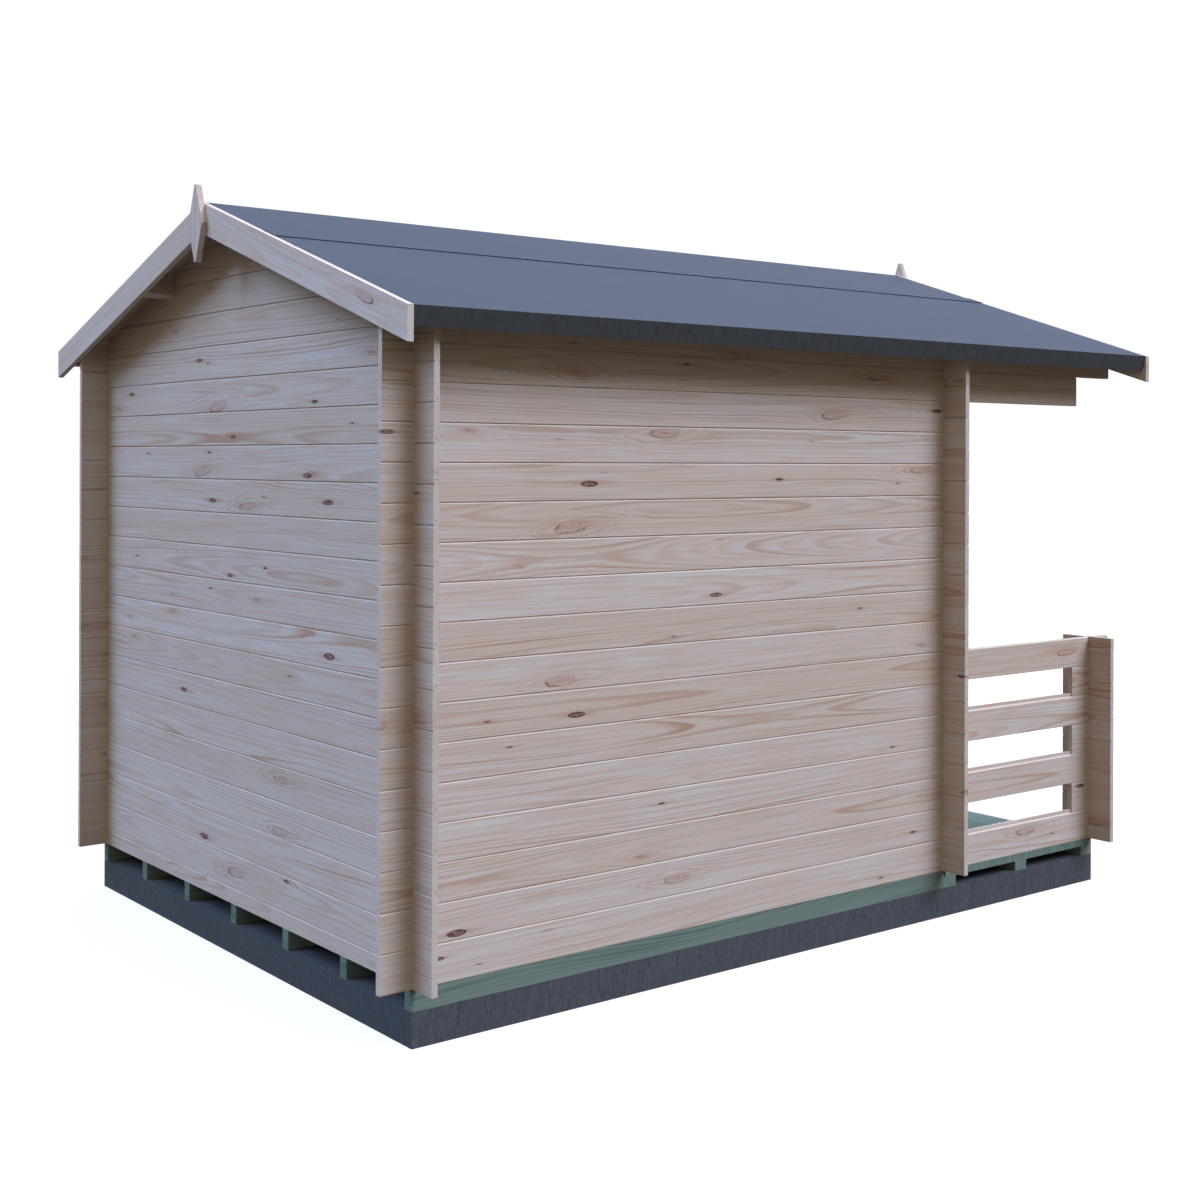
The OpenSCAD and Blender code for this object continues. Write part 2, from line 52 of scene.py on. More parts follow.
COURSE = 0.115                      # height that each log adds to its wall
HALF_LOG = 0.054                    # height of the half log under the cross walls
WALL_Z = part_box("left_wall_logs")[0].z - COURSE   # underside of the walls: the rails hold course 0
BACK_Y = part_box("base_slab")[1].y
SIDE_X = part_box("base_slab")[1].x
ROOF_PITCH = math.radians(18)
BEARER_W = 0.040
BEARER_H = 0.065
DECK_PITCH = 0.098
BOARD_PITCH = 0.088                 # of the roof and floor boards, before they are fitted evenly
BARGE_H = 0.102                     # upright height of a barge board's face
NAIL_SPACING = 0.28                 # along the barge boards
NAIL_HEAD = (0.0026, 0.0007)        # radius and height
SCREW_HEAD = (0.0042, 0.0006)
SCREW_INSET = 0.018                 # from a deck board's edges
STILE_W = 0.075                     # of the door leaves
PANE_SEAT = 0.0097                  # how far a pane or panel sits inside its leaf
BEAD_W = 0.012                      # of the beads round the panes
JOINT = 0.0002                      # hairline gap at each side of an added board or bead

# ---- colours, as sRGB values from 0 to 255 ----

PALE_WOOD = (212, 201, 194)         # early wood
GREY_WOOD = (206, 203, 205)
ROSY_WOOD = (206, 188, 178)
RING_WOOD = (182, 149, 131)         # late wood, the darker line of each ring
FIBRE_WOOD = (196, 160, 132)
JOINT_SHADE_WOOD = (212, 168, 140)         # painted warm shade along each log's lower edge, in the joint below it
PAINTED_HIGHLIGHT_WOOD = (232, 226, 220)        # painted highlight on the upward bevel at each log's upper edge, where the light catches it
END_WOOD = (204, 201, 202)          # sawn ends
KNOT_WOOD = (180, 134, 122)
KNOT_RIM = (118, 70, 62)
DEAD_KNOT = (66, 48, 46)
TREATED_PALE = (121, 141, 134)
TREATED_DARK = (76, 96, 92)
DECK_PALE = (98, 125, 130)
DECK_DARK = (64, 86, 90)
CONCRETE_MID = (90, 95, 104)
CONCRETE_WARM = (98, 95, 98)
CONCRETE_DARK = (63, 65, 71)
CONCRETE_PORE = (44, 46, 50)
FELT_TOP = (68, 76, 92)
FELT_EDGE = (71, 74, 79)
GALVANISED = (150, 152, 156)


def linear(colour):
    """An sRGB colour from 0 to 255 as the linear colour that a shader takes."""
    parts = [c / 255 for c in colour]
    return tuple(p / 12.92 if p <= 0.04045 else ((p + 0.055) / 1.055) ** 2.4 for p in parts) + (1.0,)


# ---- node trees written as formulas ----

class Signal:
    """The output of a shader node, which can be added, multiplied and so on."""

    def __init__(self, graph, socket):
        self.graph = graph
        self.socket = socket

    def __add__(self, other):
        return self.graph.math("ADD", self, other)

    def __sub__(self, other):
        return self.graph.math("SUBTRACT", self, other)

    def __rsub__(self, other):
        return self.graph.math("SUBTRACT", other, self)

    def __mul__(self, other):
        return self.graph.math("MULTIPLY", self, other)

    def __truediv__(self, other):
        return self.graph.math("DIVIDE", self, other)

    def __pow__(self, other):
        return self.graph.math("POWER", self, other)

    __radd__ = __add__
    __rmul__ = __mul__

    def floor(self):
        return self.graph.math("FLOOR", self)

    def fract(self):
        return self.graph.math("FRACT", self)

    def absolute(self):
        return self.graph.math("ABSOLUTE", self)

    def sine(self):
        return self.graph.math("SINE", self)

    def above(self, threshold):
        return self.graph.math("GREATER_THAN", self, threshold)

    def smooth(self, low, high, start=0.0, end=1.0):
        """start below low, end above high, and a smooth step between them."""
        node = self.graph.node("ShaderNodeMapRange", interpolation_type="SMOOTHSTEP")
        self.graph.feed(node.inputs["Value"], self)
        self.graph.feed(node.inputs["From Min"], low)
        self.graph.feed(node.inputs["From Max"], high)
        self.graph.feed(node.inputs["To Min"], start)
        self.graph.feed(node.inputs["To Max"], end)
        return Signal(self.graph, node.outputs["Result"])


class Graph:
    """Adds nodes to one node tree."""

    def __init__(self, tree):
        self.tree = tree

    def node(self, kind, **settings):
        node = self.tree.nodes.new(kind)
        for name, value in settings.items():
            setattr(node, name, value)
        return node

    def feed(self, socket, value):
        if isinstance(value, Signal):
            self.tree.links.new(value.socket, socket)
        else:
            socket.default_value = value

    def math(self, operation, *values):
        node = self.node("ShaderNodeMath", operation=operation)
        for socket, value in zip(node.inputs, values):
            self.feed(socket, value)
        return Signal(self, node.outputs[0])

    def length(self, x, y):
        return (x * x + y * y) ** 0.5

    def vector(self, x=0.0, y=0.0, z=0.0):
        node = self.node("ShaderNodeCombineXYZ")
        for socket, value in zip(node.inputs, (x, y, z)):
            self.feed(socket, value)
        return Signal(self, node.outputs[0])

    def parts(self, vector):
        """The x, y and z, or the red, green and blue, of a vector or colour."""
        node = self.node("ShaderNodeSeparateXYZ")
        self.feed(node.inputs[0], vector)
        return [Signal(self, out) for out in node.outputs]

    def place(self):
        """The x, y and z of the point, in the frame of the cabin."""
        node = self.node("ShaderNodeTexCoord")
        return self.parts(Signal(self, node.outputs["Object"]))

    def facing(self, axis):
        """One where the surface faces along an axis, either way, and nothing elsewhere."""
        node = self.node("ShaderNodeTexCoord")
        return self.parts(Signal(self, node.outputs["Normal"]))[axis].absolute().smooth(0.6, 0.8)

    def noise(self, vector, scale=1.0, detail=2.0, roughness=0.5):
        """Noise in three dimensions, about 0 to 1 with its middle at 0.5."""
        node = self.node("ShaderNodeTexNoise", noise_dimensions="3D")
        self.feed(node.inputs["Vector"], vector)
        self.feed(node.inputs["Scale"], scale)
        self.feed(node.inputs["Detail"], detail)
        self.feed(node.inputs["Roughness"], roughness)
        return Signal(self, node.outputs["Fac"])

    def noise_1d(self, w, detail=0.0):
        node = self.node("ShaderNodeTexNoise", noise_dimensions="1D")
        self.feed(node.inputs["W"], w)
        self.feed(node.inputs["Scale"], 1.0)
        self.feed(node.inputs["Detail"], detail)
        return Signal(self, node.outputs["Fac"])

    def random(self, w):
        """Three random numbers from 0 to 1 that stay the same for one w."""
        node = self.node("ShaderNodeTexWhiteNoise", noise_dimensions="1D")
        self.feed(node.inputs["W"], w)
        return self.parts(Signal(self, node.outputs["Color"]))

    def cells_1d(self, w, randomness):
        """The nearest scattered point on a line: its place, and three random numbers."""
        node = self.node("ShaderNodeTexVoronoi", voronoi_dimensions="1D")
        self.feed(node.inputs["W"], w)
        self.feed(node.inputs["Scale"], 1.0)
        self.feed(node.inputs["Randomness"], randomness)
        return Signal(self, node.outputs["W"]), self.parts(Signal(self, node.outputs["Color"]))

    def speckle(self, vector, scale):
        """Distance to the nearest of many scattered points."""
        node = self.node("ShaderNodeTexVoronoi", voronoi_dimensions="3D")
        self.feed(node.inputs["Vector"], vector)
        self.feed(node.inputs["Scale"], scale)
        return Signal(self, node.outputs["Distance"])

    def mix(self, factor, a, b):
        """Colour a where factor is 0, and colour b where it is 1."""
        node = self.node("ShaderNodeMix", data_type="RGBA", clamp_factor=True)
        self.feed(node.inputs[0], factor)
        self.feed(node.inputs[6], a)
        self.feed(node.inputs[7], b)
        return Signal(self, node.outputs[2])

    def shade(self, colour, amount):
        """The colour times a grey amount."""
        node = self.node("ShaderNodeVectorMath", operation="SCALE")
        self.feed(node.inputs[0], colour if isinstance(colour, Signal) else colour[:3])
        self.feed(node.inputs["Scale"], amount)
        return Signal(self, node.outputs[0])

    def bump(self, height, distance, strength=1.0):
        node = self.node("ShaderNodeBump")
        self.feed(node.inputs["Strength"], strength)
        self.feed(node.inputs["Distance"], distance)
        self.feed(node.inputs["Height"], height)
        return Signal(self, node.outputs["Normal"])


# ---- timber ----

TIMBER_INPUTS = ("Along", "Across", "Up", "Seed")
TIMBER_OUTPUTS = ("Ring", "Fibre", "Tone", "Warm", "Blush", "Knot", "Rim", "Dead", "Halo")


def nearest_knot(g, along, up, seed, spacing, share):
    """The nearest of the knots scattered along a board: offset along, offset up, chance.

    A share of the places has a knot, and from the others the point is far away.
    """
    line = along / spacing + seed * 17.37
    middle, chance = g.cells_1d(line, 0.8)
    beside = (line - middle) * spacing
    above = up - (chance[0] * 0.70 + 0.15) * COURSE
    size = chance[1] * 0.6 + 0.5
    far = chance[2].above(share) * 9.0
    return beside / size + far, above / size, chance[1]


def spread(g, x, y, reach, height):
    """One at a knot's middle, fading to nothing at some reach along the grain and height across it."""
    return g.math("EXPONENT", (x / reach) * (x / reach) * -1.0 - (y / height) * (y / height))


def dark_line(turn, start):
    """A ring's late wood by the turn from 0 to 1 of that ring: a slow rise from start, and a sharp end."""
    return turn.smooth(start, 0.80) * turn.smooth(0.84, 1.0, 1.0, 0.0)


def growth_rings(g, along, across, up, seed, ripple):
    """The dark line of each ring, round a pith that wanders outside the board."""
    own = g.random(seed + 0.37)
    ring_width = own[2] * 0.0038 + 0.0055
    pith_up = (own[0] - 0.5) * 0.17 + COURSE / 2 + (g.noise_1d(along * 0.22 + seed * 7.3) - 0.5) * 0.08
    pith_off = own[1] * 0.045 + 0.028 + (g.noise_1d(along * 0.5 + seed * 13.1) - 0.5) * 0.072
    radius = g.length(across + pith_off, up - pith_up)
    rings = (radius + ripple * 0.0042) / ring_width
    chance = g.random(rings.floor() + seed * 31.0)
    line = dark_line(rings.fract(), 0.20) * (chance[0] ** 1.5 * 0.85 + 0.08)
    line = line * (g.noise_1d(along * 2.3 + chance[1] * 50.0) * 1.2 + 0.4)
    flat = (across + pith_off) / radius
    return line * (flat * flat * 0.62 + 0.62)


def rosy_knot(g, x, y, chance, distance, ragged, crooked):
    """The inside and the broken rim of a broad rosy knot: some are outlined, and others mottled discs."""
    edge = distance + ragged * 0.40 + (crooked - 0.5) * 0.50
    outlined = chance.smooth(0.35, 0.60)
    disc = edge.smooth(0.70, 1.06, 1.0, 0.0)
    core = spread(g, x, y, 0.030, 0.0085) * ragged.smooth(-0.12, 0.12, 0.35, 0.75)
    inner = disc * ((edge * 19.0).sine() * 0.24 + 0.28) + core * (1.0 - outlined)
    side = x / 0.058 * 0.5 - y / 0.0175 + chance - 0.5
    rim = edge.smooth(0.80, 0.98) * edge.smooth(1.00, 1.15, 1.0, 0.0) * side.smooth(-0.6, 1.0, 0.08, 1.0)
    rim = rim * crooked.smooth(0.34, 0.56, 0.25, 1.0)
    flecks = distance.smooth(1.05, 1.2) * distance.smooth(1.5, 1.9, 1.0, 0.0) * ragged.smooth(0.12, 0.24)
    rim = (rim + flecks * side.smooth(-1.2, -0.2, 1.0, 0.0) * 0.5) * (outlined * 0.85 + 0.15)
    return inner, rim


def slim_knot(distance, ragged):
    """The inside of a slim knot, and how dead its wood is there and at its rim."""
    edge = distance + ragged * 0.35
    rim = edge.smooth(0.62, 0.88) * edge.smooth(0.95, 1.20, 1.0, 0.0)
    inner = edge.smooth(0.75, 1.0, 1.0, 0.0)
    return inner, rim + inner * ragged.smooth(-0.04, 0.08, 0.45, 0.95)


def timber_group():
    """Softwood: growth rings, with knots and fibres."""
    tree = bpy.data.node_groups.new("timber", "ShaderNodeTree")
    for name in TIMBER_INPUTS:
        tree.interface.new_socket(name, in_out="INPUT", socket_type="NodeSocketFloat")
    for name in TIMBER_OUTPUTS:
        tree.interface.new_socket(name, in_out="OUTPUT", socket_type="NodeSocketFloat")
    g = Graph(tree)
    inside = g.node("NodeGroupInput")
    along, across, up, seed = (Signal(g, inside.outputs[name]) for name in TIMBER_INPUTS)

    # a slow waviness that bends every line a little, and ragged edges for the knots
    wave = g.noise(g.vector(along * 1.1, across * 6.0, up * 9.0 + seed * 5.1), detail=1.0) - 0.5
    ripple = g.noise(g.vector(along * 4.5, across * 40.0, up * 40.0 + seed * 3.3), detail=2.0) - 0.5
    ragged = g.noise(g.vector(along * 45.0, across * 40.0, up * 150.0 + seed), detail=2.0) - 0.5
    crooked = g.noise(g.vector(along * 16.0, across * 20.0, up * 50.0 + seed * 1.9), detail=1.0)

    # knots, each with its distance in its own size: broad rosy ones, slim ones with a dark rim and
    # pointed ends, and small marks
    bent = up + wave * 0.018
    rosy_x, rosy_y, rosy_chance = nearest_knot(g, along, bent, seed, 0.80, 0.30)
    tilted = (rosy_y + rosy_x * (rosy_chance * 0.30 - 0.15)) / 0.0165
    rosy = g.length(rosy_x / 0.064, tilted)
    slim_x, slim_y, _ = nearest_knot(g, along, bent, seed + 40.0, 0.90, 0.22)
    slim_up = (slim_y / 0.0090).absolute()
    slim = slim_up * slim_up * 0.6 + slim_up * 0.4 + (slim_x / 0.032) * (slim_x / 0.032)
    mark_x, mark_y, mark_chance = nearest_knot(g, along, bent, seed + 80.0, 0.55, 0.32)
    mark = g.length(mark_x / 0.015, mark_y / 0.0042)

    # the grain flows round the knots
    flow = rosy_y * spread(g, rosy_x, rosy_y, 0.200, 0.040) * 0.84
    flow = flow + slim_y * spread(g, slim_x, slim_y, 0.110, 0.024) * 0.74
    flow = flow + mark_y * spread(g, mark_x, mark_y, 0.040, 0.012) * 0.60
    line = growth_rings(g, along, across, bent - flow, seed, ripple)

    # nested lens-shaped lines take the place of the straight ones beside a rosy knot
    lens = tilted.absolute() + (rosy_x / 0.15) * (rosy_x / 0.15)
    eye = dark_line((lens * 1.05 + ripple * 3.0 + rosy_chance * 9.0).fract(), 0.15) * (wave * 1.5 + 0.55)
    line = line + (eye - line) * lens.smooth(1.2, 3.4, 1.0, 0.0)

    # the fine fibres, the slow change of tone along the board, rosy smudges and a fine rosy tint
    fibre = g.noise(g.vector(along * 2.5, across * 160.0, up * 190.0 + seed * 9.0), detail=3.0)
    tone = g.noise(g.vector(along * 0.9, across * 5.0, up * 16.0 + seed * 2.7), detail=2.0)
    smudge = g.noise(g.vector(along * 4.0, across * 30.0, up * 40.0 + seed * 4.7), detail=2.0)
    blush = smudge.smooth(0.60, 0.80)
    warm = g.noise(g.vector(along * 5.0, across * 70.0, up * 85.0 + seed * 6.1), detail=3.0)

    # what the knots themselves look like
    rosy_inner, rim = rosy_knot(g, rosy_x, rosy_y, rosy_chance, rosy, ragged, crooked)
    slim_inner, slim_dead = slim_knot(slim, ragged)
    inner = rosy_inner + slim_inner * 0.6
    dead_mark = (mark + ragged * 0.8).smooth(0.5, 1.2, 1.0, 0.0) * (mark_chance * 0.9 + 0.05)
    dead = g.math("MINIMUM", slim_dead + dead_mark, 1.0)
    halo = spread(g, rosy_x, rosy_y, 0.120, 0.019) * 0.5 + spread(g, slim_x, slim_y, 0.075, 0.0075) * 1.6
    halo = (halo + spread(g, mark_x, mark_y, 0.045, 0.0045)) * (ragged * 0.8 + 1.0)

    outside = g.node("NodeGroupOutput")
    for name, value in zip(TIMBER_OUTPUTS, (line, fibre, tone, warm, blush, inner, rim, dead, halo)):
        g.feed(outside.inputs[name], value)
    return tree


TIMBER = timber_group()


def timber(g, along, across, up, seed):
    """The timber group's outputs, by name, for a board laid along these coordinates."""
    node = g.node("ShaderNodeGroup", node_tree=TIMBER)
    for name, value in zip(TIMBER_INPUTS, (along, across, up, seed)):
        g.feed(node.inputs[name], value)
    return {name: Signal(g, node.outputs[name]) for name in TIMBER_OUTPUTS}


def new_material(name):
    """A material with an empty tree: its graph and its Principled shader."""
    material = bpy.data.materials.new(name)
    material.use_nodes = True
    material.node_tree.nodes.clear()
    g = Graph(material.node_tree)
    shader = g.node("ShaderNodeBsdfPrincipled")
    out = g.node("ShaderNodeOutputMaterial")
    g.tree.links.new(shader.outputs[0], out.inputs["Surface"])
    return material, g, shader


def spruce_colour(g, wood, own_tone):
    """Colour of planed spruce from the timber's parts and the board's own tone."""
    rosy = wood["Tone"] * 1.2 + wood["Warm"] * 1.6 + own_tone * 0.4 - 1.10
    ground = g.mix(rosy.smooth(0.0, 1.0), linear(GREY_WOOD), linear(ROSY_WOOD))
    ground = g.mix(0.25, ground, linear(PALE_WOOD))
    ground = g.mix(wood["Fibre"].smooth(0.32, 0.60, 0.40, 0.0), ground, linear(FIBRE_WOOD))
    ground = g.mix(wood["Ring"] * 0.80, ground, linear(RING_WOOD))
    ground = g.mix(wood["Blush"] * 0.28, ground, linear(RING_WOOD))
    ground = g.mix(wood["Halo"] * 0.45, ground, linear(KNOT_WOOD))
    ground = g.mix(wood["Knot"], ground, linear(KNOT_WOOD))
    ground = g.mix(wood["Rim"] * 0.80, ground, linear(KNOT_RIM))
    ground = g.mix(wood["Dead"] * 0.92, ground, linear(DEAD_KNOT))
    # painted shade: a warm brown tint in dashes along each log's lower edge, where the joint lies in shade
    ground = g.mix(wood["Edge"], ground, linear(JOINT_SHADE_WOOD))
    # painted highlight: the bevel at each log's upper edge is lightened where the light catches it
    ground = g.mix(wood["Crest"] * 0.42, ground, linear(PAINTED_HIGHLIGHT_WOOD))
    ground = g.mix(wood["End"] * 0.3, ground, linear(END_WOOD))
    return g.shade(ground, wood["Fibre"] * 0.06 - own_tone * 0.05 + 0.985)


def treated_colour(pale, dark, end_shade):
    """Colour of green pressure-treated timber, whose sawn ends may be darker by end_shade."""
    def colour_of(g, wood, own_tone):
        figure = wood["Ring"] * 0.55 + wood["Tone"].smooth(0.40, 0.75) * 0.50
        faces = g.mix(wood["End"], linear(pale), linear(TREATED_PALE))
        ground = g.mix(figure, faces, linear(dark))
        ground = g.mix(wood["Halo"] * 0.5, ground, linear(dark))
        ground = g.mix(wood["Knot"] * 0.6 + wood["Rim"] * 0.6, ground, linear(dark))
        ground = g.mix(wood["Dead"] * 0.7, ground, linear(DEAD_KNOT))
        return g.shade(ground, wood["Fibre"] * 0.2 + own_tone * 0.12 - wood["End"] * end_shade + 0.84)
    return colour_of


def timber_material(name, lay, colour_of, roughness, figure=1.0, edge=0.0, painted_highlight=0.0):
    """Timber whose boards lie as lay says.

    The figure is how strongly its rings show. The last two set how strongly a painted warm shade shows
    along the lower edge of each log, at the joint, and a painted highlight on the bevel at its upper edge.
    """
    material, g, shader = new_material(name)
    along, across, up, seed, end = lay(g)
    wood = timber(g, along, across, up, seed)
    wood["Ring"] = wood["Ring"] * figure
    # the painted joint shade comes in dashes along the log
    dashes = g.noise_1d(along * 9.0 + seed * 11.0, detail=2.0).smooth(0.35, 0.65, 0.25, 0.75)
    wood["Edge"] = up.smooth(0.0008, 0.0024, 1.0, 0.0) * dashes * edge
    # painted highlight on the upward bevel at the top of each course
    wood["Crest"] = up.smooth(COURSE - 0.0055, COURSE - 0.004) * painted_highlight
    wood["End"] = end
    own_tone = g.random(seed + 5.21)[1]
    g.feed(shader.inputs["Base Color"], colour_of(g, wood, own_tone))
    g.feed(shader.inputs["Roughness"], wood["Ring"] * -0.08 + wood["Fibre"] * 0.10 + roughness)
    height = wood["Ring"] * 0.5 + wood["Fibre"] * 0.5 + wood["Dead"] * -0.8
    g.feed(shader.inputs["Normal"], g.bump(height, 0.0004, 0.5))
    shader.inputs["Specular IOR Level"].default_value = 0.14
    return material


# Each of these gives a function of the graph that says how the boards of a node lie: the distances along
# a board, across its thickness and up its width, the board's seed, and where its end grain shows. The
# family is a number that sets the seeds apart from those of other nodes.

def stacked(axis, base, face, family):
    """Logs stacked from height base: their grain runs along axis 0 or 1, and face is their outer face."""
    def lay(g):
        place = g.place()
        height = place[2] - base
        course = (height / COURSE).floor()
        up = height - course * COURSE
        across = place[1 - axis]
        seed = course * 1.7 + across.above(0.0) * 50.0 + family
        return place[axis], across.absolute() - face, up, seed, g.facing(axis)
    return lay


def single(axis, up_axis, corner, family):
    """One board along an axis, with another of its directions as its width, from a corner of its box."""
    def lay(g):
        place = g.place()
        across_axis = 3 - axis - up_axis
        across = place[across_axis] - corner[across_axis]
        seed = place[0] * 0.0 + family      # the same everywhere, but a signal, as the others are
        return place[axis], across, place[up_axis] - corner[up_axis], seed, g.facing(axis)
    return lay


def rows(axis, pitch_axis, start, pitch, face, family):
    """Boards side by side along pitch_axis, each with its own grain along axis."""
    def lay(g):
        place = g.place()
        across_axis = 3 - axis - pitch_axis
        run = place[pitch_axis] - start
        board = (run / pitch).floor()
        across = place[across_axis] - face
        return place[axis], across, run - board * pitch, board * 1.3 + family, g.facing(axis)
    return lay


def beams(node, axis, up_axis, width, family):
    """A node's beams, which run along axis, by the distance from each beam's start to the next one's.

    The distance is read from the mesh: it is that between two neighbouring groups of corners.
    """
    across_axis = 3 - axis - up_axis
    starts = sorted({round(v.co[across_axis], 4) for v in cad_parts[node].data.vertices})
    apart = next(place - starts[0] for place in starts if place - starts[0] > width + 0.001)
    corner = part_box(node)[0]

    def lay(g):
        place = g.place()
        run = place[across_axis] - corner[across_axis]
        beam = ((run + 0.001) / apart).floor()
        drift = g.noise_1d(place[axis] * 0.9 + beam * 3.7) * 0.07
        up = place[up_axis] - corner[up_axis] + drift
        return place[axis], run - beam * apart, up, beam * 2.3 + family, g.facing(axis)
    return lay


def on_slope(place, top):
    """Distance down the roof's slope, and height square to it, from a ridge at height top."""
    side = place[0].absolute()
    height = place[2] - top
    run = side * math.cos(ROOF_PITCH) - height * math.sin(ROOF_PITCH)
    rise = side * math.sin(ROOF_PITCH) + height * math.cos(ROOF_PITCH)
    return run, rise


def raked(top, face, family):
    """Boards that follow the roof's slope on either side of the ridge, whose top edges meet at top."""
    def lay(g):
        place = g.place()
        run, rise = on_slope(place, top)
        seed = place[0].above(0.0) * 3.1 + family
        return run, place[1] - face, rise + COURSE, seed, g.facing(0)
    return lay


def sloping_rows(start, pitch, top, family):
    """Boards that run down the roof's slope, side by side along the ridge."""
    def lay(g):
        place = g.place()
        run, rise = on_slope(place, top)
        beside = place[1] - start
        board = (beside / pitch).floor()
        return run, rise, beside - board * pitch, board * 1.3 + family, g.facing(0)
    return lay


# ---- finishes of the timber nodes ----

WOOD_ROUGHNESS = 0.68
TREATED_ROUGHNESS = 0.72
CROSS_PAINTED_HIGHLIGHT = 0.35                  # the painted highlight on the cross logs' upper bevels is weaker than on the side logs', at 1
BARGE_FAMILY = 634.665              # gives the left rear barge board a broad knot in its lower half


def finish_cad(nodes, material):
    """Gives the material to CAD nodes."""
    for name in nodes:
        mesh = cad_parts[name].data
        mesh.materials.clear()
        mesh.materials.append(material)


def spruce(name, lay, figure=1.0, edge=0.0, painted_highlight=0.0):
    """Planed spruce."""
    return timber_material(name, lay, spruce_colour, WOOD_ROUGHNESS, figure, edge, painted_highlight)


def treated(name, lay, pale=TREATED_PALE, dark=TREATED_DARK, end_shade=0.27):
    """Green pressure-treated timber."""
    return timber_material(name, lay, treated_colour(pale, dark, end_shade), TREATED_ROUGHNESS)


def finish_logs():
    """One finish for all side logs, and one for the cross logs of each wall and of the posts."""
    parts = ("wall_logs", "rail_logs", "eave_logs", "post_side_logs")
    sides = [f"{hand}_{part}" for hand in ("left", "right") for part in parts]
    finish_cad(sides, spruce("spruce_side_logs", stacked(1, WALL_Z, SIDE_X, 3.0), edge=1.0, painted_highlight=1.0))
    cross_base = WALL_Z + HALF_LOG - COURSE
    walls = {
        "back": ("back_wall_logs", "back_gable_logs"),
        "front": ("front_sill_log", "front_wall_left_logs", "front_wall_right_logs", "front_gable_logs"),
        "post": ("left_post_cross_logs", "right_post_cross_logs"),
    }
    for number, (wall, nodes) in enumerate(walls.items()):
        low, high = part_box(nodes[-1])
        face = max(abs(low.y), abs(high.y))
        lay = stacked(0, cross_base, face, 120.0 + 140.0 * number)
        finish_cad(nodes, spruce(f"spruce_{wall}_logs", lay, edge=1.0, painted_highlight=CROSS_PAINTED_HIGHLIGHT))


def finish_roof_timber():
    """Purlins, eave strips, barge boards and finials."""
    for number, name in enumerate(("ridge_purlin", "left_purlin", "right_purlin")):
        finish_cad([name], spruce(f"spruce_{name}", single(1, 2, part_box(name)[0], 600.0 + number)))
    for number, name in enumerate(("left_eave_strip", "right_eave_strip")):
        finish_cad([name], spruce(f"spruce_{name}", single(1, 2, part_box(name)[0], 610.0 + number)))
    for number, end in enumerate(("back", "front")):
        low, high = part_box(f"{end}_left_barge")
        barges = spruce(f"spruce_{end}_barges", raked(high.z, low.y, BARGE_FAMILY + 10 * number), 0.4)
        finish_cad([f"{end}_left_barge", f"{end}_right_barge"], barges)
        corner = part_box(f"{end}_finial")[0]
        finish_cad([f"{end}_finial"], spruce(f"spruce_{end}_finial", single(2, 0, corner, 640.0 + number)))


def finish_treated_timber():
    """Bearers, joists and deck boards."""
    for number, name in enumerate(("floor_bearers", "porch_joists")):
        lay = beams(name, 1, 2, BEARER_W, 800.0 + 20 * number)
        finish_cad([name], treated(f"treated_{name}", lay))
    lay = beams("porch_bearers", 0, 2, BEARER_H, 860.0)
    finish_cad(["porch_bearers"], treated("treated_porch_bearers", lay, end_shade=0.02))
    lay = rows(0, 1, -BACK_Y, DECK_PITCH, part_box("porch_deck")[1].z, 900.0)
    finish_cad(["porch_deck"], treated("treated_deck", lay, DECK_PALE, DECK_DARK, 0.08))


def framed(corner, low, high, family):
    """Joinery: grain upright in the stiles, and level in the rails, where low < |x| < high."""
    def lay(g):
        place = g.place()
        side = place[0].absolute()
        rail = side.above(low) * (1.0 - side.above(high))
        upright, level = place[2] - corner[2], place[0] - corner[0]
        along = upright + (level - upright) * rail
        up = level + (upright - level) * rail
        seed = place[0].above(0.0) * 2.1 + rail * 3.7 + family
        return along, place[1] - corner[1], up, seed, g.facing(2) * (1.0 - rail)
    return lay


def finish_door():
    """The frame and the two leaves."""
    low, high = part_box("door_frame")
    finish_cad(["door_frame"], spruce("spruce_door_frame", framed(low, 0.0, high.x - STILE_W, 960.0)))
    low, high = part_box("right_door_leaf")
    lay = framed(low, low.x + STILE_W, high.x - STILE_W, 970.0)
    finish_cad(["left_door_leaf", "right_door_leaf"], spruce("spruce_door_leaves", lay))


# ---- other finishes ----

CRACK_SPACING = 0.45                # between the slab's hairline cracks, on the average
PAINTED_LIGHT_ON_SIDES = 0.25                  # painted light: by how much the slab's long sides are paler than its ends


